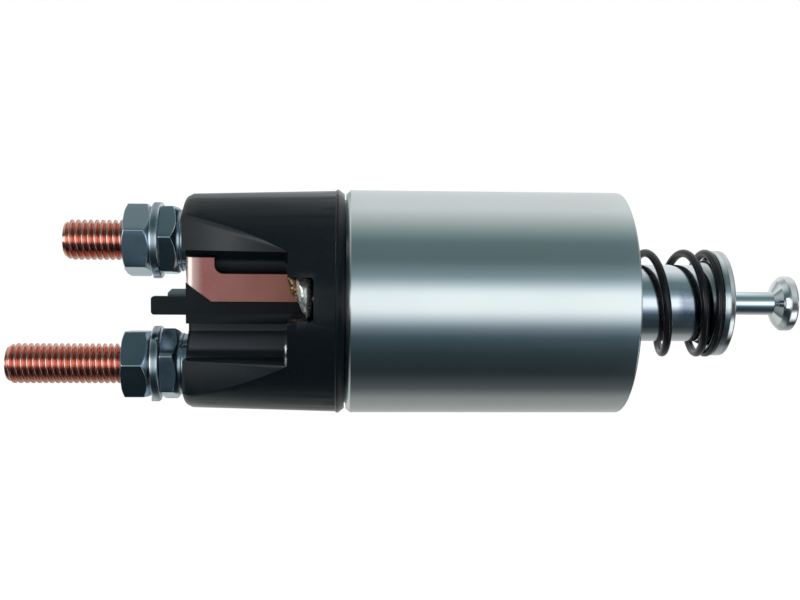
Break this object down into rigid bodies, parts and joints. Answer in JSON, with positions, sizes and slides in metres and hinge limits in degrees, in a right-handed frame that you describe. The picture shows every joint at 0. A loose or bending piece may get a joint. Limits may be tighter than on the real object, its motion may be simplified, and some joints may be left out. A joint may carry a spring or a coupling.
{
  "type": "starter solenoid",
  "caption": "Cylindrical starter-motor solenoid: spring-loaded plunger with a mushroom-head pull rod, black terminal cap with threaded copper studs and a blade terminal.",
  "frame": {"origin": "middle of the steel case's front face, on the plunger's axis", "axes": "+X along the plunger's axis, out towards the pull rod's head; +Z towards the short stud; -Y towards the side of the cap with the solder pocket"},
  "size_m": [0.1961, 0.0552, 0.0552],
  "materials": {
    "case_steel": "smooth satin zinc plate",
    "plunger_steel": "ground and zinc plated",
    "rod_steel": "polished",
    "magnet_iron": "machined, plain",
    "fastener_zinc": "blue-bright zinc plate",
    "spring_steel": "brown-black phosphate",
    "bright_spring": "bright zinc plate",
    "phenolic": "satin black moulding",
    "insulator": "phenolic laminate",
    "gasket_rubber": "matt",
    "copper": "bare drawn copper",
    "strap_copper": "satin stamped copper",
    "enamelled_wire": "enamelled copper turns",
    "tin": "tinned, bright",
    "brass": "drawn brass"
  },
  "bodies": {
    "housing": {"case": "case_steel", "guide_sleeve": "brass", "coil_bobbin": "insulator", "pull_in_winding": "enamelled_wire", "hold_in_winding": "enamelled_wire", "core_plate": "magnet_iron", "stationary_pole": "magnet_iron", "cap_gasket": "gasket_rubber", "terminal_cap": "phenolic", "blade_terminal": "tin", "terminal_strap": "strap_copper", "motor_lead": "enamelled_wire", "switch_lead": "enamelled_wire", "solder_joint": "tin", "short_stud": "copper", "long_stud": "copper", "upper_stud_collar": "fastener_zinc", "upper_plain_washer": "fastener_zinc", "upper_jam_nut": "fastener_zinc", "upper_spring_washer": "bright_spring", "upper_terminal_nut": "fastener_zinc", "lower_stud_collar": "fastener_zinc", "lower_plain_washer": "fastener_zinc", "lower_jam_nut": "fastener_zinc", "lower_spring_washer": "bright_spring", "lower_terminal_nut": "fastener_zinc", "return_spring": "spring_steel", "contact_return_spring": "bright_spring"},
    "plunger_body": {"plunger": "plunger_steel", "spring_seat": "plunger_steel", "drive_spring": "spring_steel"},
    "rod_body": {"pull_rod": "rod_steel", "rod_retainer": "magnet_iron"},
    "shaft_body": {"contact_shaft": "magnet_iron", "insulating_bush": "insulator", "retaining_clip": "bright_spring", "contact_spring": "bright_spring"},
    "disc_body": {"contact_disc": "copper", "insulating_washer": "insulator"}
  },
  "joints": [
    {"name": "plunger_slide", "type": "slide", "parent": "housing", "child": "plunger_body", "axis": [-1, 0, 0], "range_m": [0, 0.0109], "stiffness_N_per_m": 5000, "springref_m": -0.012, "deforming": ["return_spring"]},
    {"name": "rod_slide", "type": "slide", "parent": "plunger_body", "child": "rod_body", "axis": [1, 0, 0], "range_m": [0, 0.006], "stiffness_N_per_m": 5200, "springref_m": -0.01, "deforming": ["drive_spring"]},
    {"name": "contact_slide", "type": "slide", "parent": "housing", "child": "shaft_body", "axis": [-1, 0, 0], "range_m": [0, 0.003], "stiffness_N_per_m": 900, "springref_m": -0.008, "deforming": ["contact_return_spring"]},
    {"name": "disc_slide", "type": "slide", "parent": "shaft_body", "child": "disc_body", "axis": [1, 0, 0], "range_m": [0, 0.0006], "stiffness_N_per_m": 4500, "springref_m": -0.002, "deforming": ["contact_spring"]}
  ],
  "couplings": [
    {"joint": "contact_slide", "follows": "plunger_slide", "ratio": 0.27522},
    {"joint": "disc_slide", "follows": "plunger_slide", "ratio": 0.05504}
  ]
}
